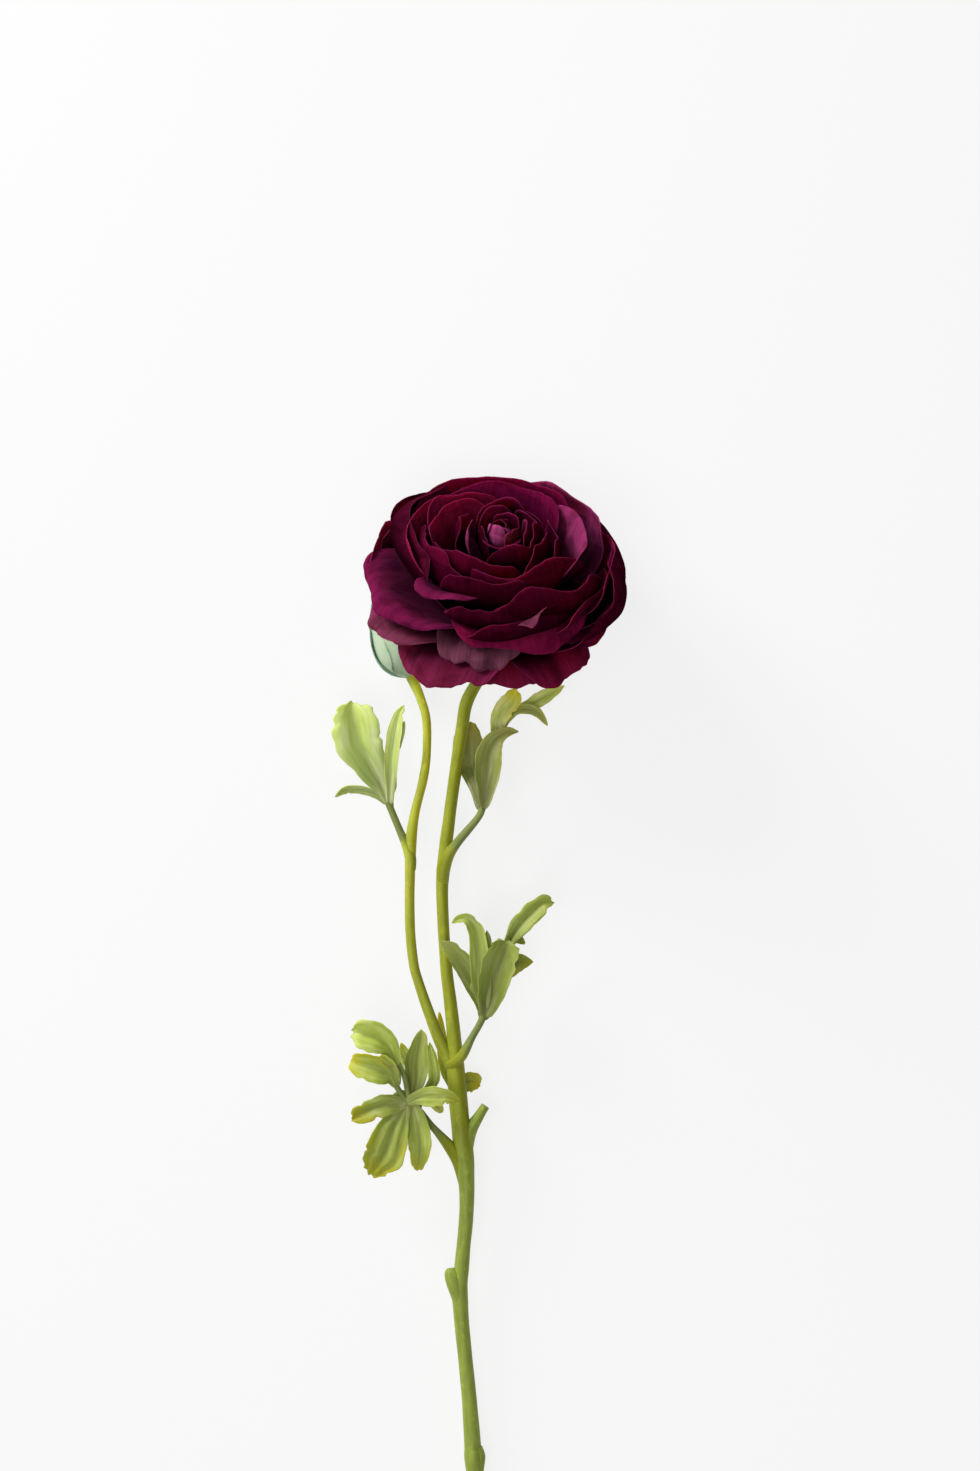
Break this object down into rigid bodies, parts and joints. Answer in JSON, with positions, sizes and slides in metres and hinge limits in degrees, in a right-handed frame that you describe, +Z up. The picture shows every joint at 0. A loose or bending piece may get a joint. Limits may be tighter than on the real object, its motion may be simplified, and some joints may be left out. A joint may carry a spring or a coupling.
{
  "type": "persian buttercup flower",
  "caption": "Cut Persian buttercup with an open many-petalled dark bloom, a closed green bud on a side stem and divided leaves, lying on its side.",
  "frame": {"origin": "on the table, under the middle of the flower's box as it lies", "axes": "+Y from the stem's cut end to the bloom, +Z up from the table, +X to the right as seen from above with the bloom at the top"},
  "size_m": [0.0875, 0.3703, 0.0584],
  "materials": {
    "petal": "satin petals, nearly black burgundy in the shade and plum in the light",
    "calyx": "matt light green",
    "stem": "satin fresh green, smooth",
    "bud": "matt pale sage green",
    "leaf": "matt light yellow-green with paler veins"
  },
  "bodies": {
    "root": {"bloom": "petal", "calyx": "calyx", "flower_stem": "stem", "bud_stem": "stem", "bud": "bud", "leaf_bud_stem": "leaf", "leaf_upper": "leaf", "leaf_middle": "leaf", "leaf_lower": "leaf", "leaf_back": "leaf"}
  },
  "joints": []
}
